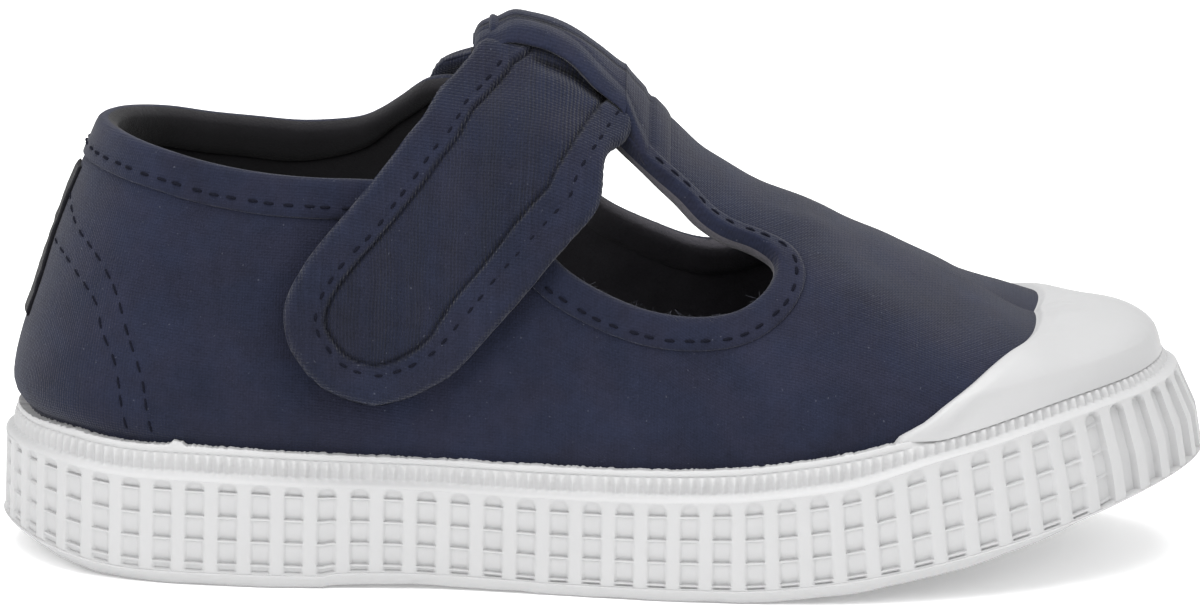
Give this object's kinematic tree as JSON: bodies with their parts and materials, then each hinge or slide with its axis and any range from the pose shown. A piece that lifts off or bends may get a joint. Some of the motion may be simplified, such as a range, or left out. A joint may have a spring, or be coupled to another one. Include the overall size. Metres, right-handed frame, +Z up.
{
  "type": "canvas sneaker",
  "caption": "Small child's right canvas shoe: hollow canvas upper with a bar up the instep, ankle strap, rubber toe cap and ribbed rubber cup sole.",
  "frame": {"origin": "centre of the bounding box on the floor", "axes": "+X towards the toe, +Y towards the inner side of the foot, +Z up"},
  "size_m": [0.157, 0.0649, 0.0722],
  "materials": {
    "sole_rubber": "moulded white rubber",
    "navy_canvas": "washed navy canvas",
    "insole_cloth": "dark woven cloth",
    "cap_rubber": "smooth white rubber",
    "strap_canvas": "washed navy canvas, bound edge",
    "patch_pile": "dark fastener pile",
    "label_cloth": "plain dark woven tape"
  },
  "bodies": {
    "root": {"sole": "sole_rubber", "upper": "navy_canvas", "insole": "insole_cloth", "toe_cap": "cap_rubber", "strap": "strap_canvas", "fastener_patch": "patch_pile", "heel_label": "label_cloth"}
  },
  "joints": []
}
